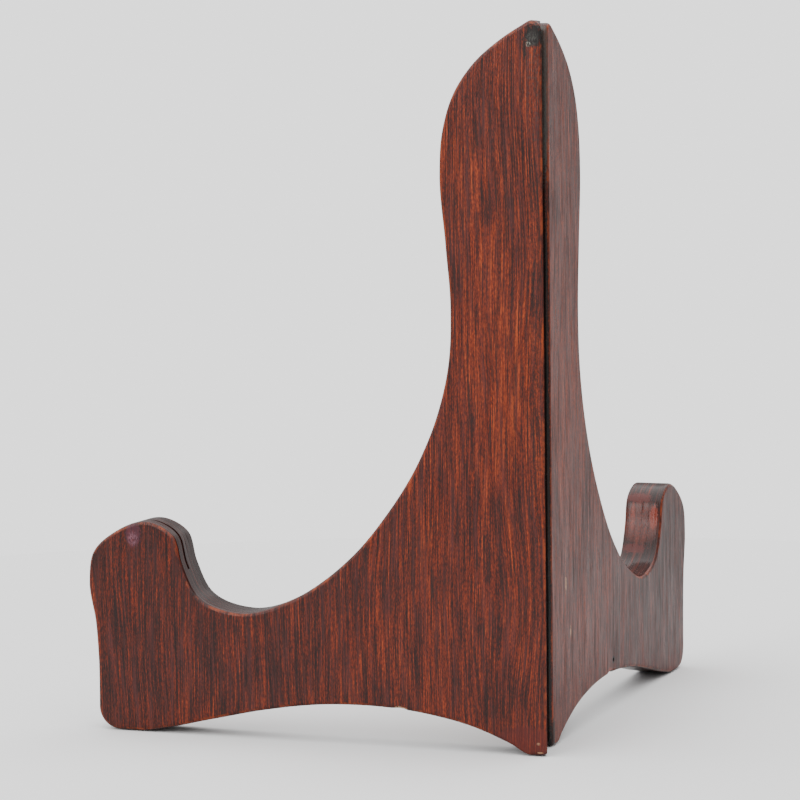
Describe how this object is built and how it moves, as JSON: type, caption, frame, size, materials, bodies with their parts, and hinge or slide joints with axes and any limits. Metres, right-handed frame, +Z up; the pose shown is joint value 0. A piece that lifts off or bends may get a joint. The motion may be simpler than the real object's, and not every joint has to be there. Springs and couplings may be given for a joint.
{
  "type": "plate display stand",
  "caption": "Folding wooden stand for showing a plate: hinged plywood boards with curved uprights, cradles and front hooks.",
  "frame": {"origin": "bottom centre of the open stand, on the surface it stands on", "axes": "+Z up; -Y towards the plate, where the cradles and hooks point; +Y towards the spine. Left and right are as seen from behind, so the left board is at +X"},
  "size_m": [0.2052, 0.1154, 0.2],
  "materials": {
    "varnished_plywood": "red-brown stain under satin to gloss varnish",
    "brass_plate": "dull brass plate, lightly tarnished",
    "brass_screw": "dull brass plate",
    "steel_pin": "bright drawn wire"
  },
  "bodies": {
    "left_side": {"left_board": "varnished_plywood", "upper_hinge_left_leaf": "brass_plate", "upper_hinge_pin": "steel_pin", "lower_hinge_left_leaf": "brass_plate", "lower_hinge_pin": "steel_pin", "upper_hinge_left_leaf_top_screw": "brass_screw", "upper_hinge_left_leaf_bottom_screw": "brass_screw", "lower_hinge_left_leaf_top_screw": "brass_screw", "lower_hinge_left_leaf_bottom_screw": "brass_screw"},
    "right_side": {"right_board": "varnished_plywood", "upper_hinge_right_leaf": "brass_plate", "lower_hinge_right_leaf": "brass_plate", "upper_hinge_right_leaf_top_screw": "brass_screw", "upper_hinge_right_leaf_bottom_screw": "brass_screw", "lower_hinge_right_leaf_top_screw": "brass_screw", "lower_hinge_right_leaf_bottom_screw": "brass_screw"}
  },
  "joints": [
    {"name": "fold", "type": "hinge", "parent": "left_side", "child": "right_side", "pos_m": [0.00522, 0.03595, 0.0955], "axis": [0, 0, 1], "range_deg": [0, 91.5]}
  ]
}
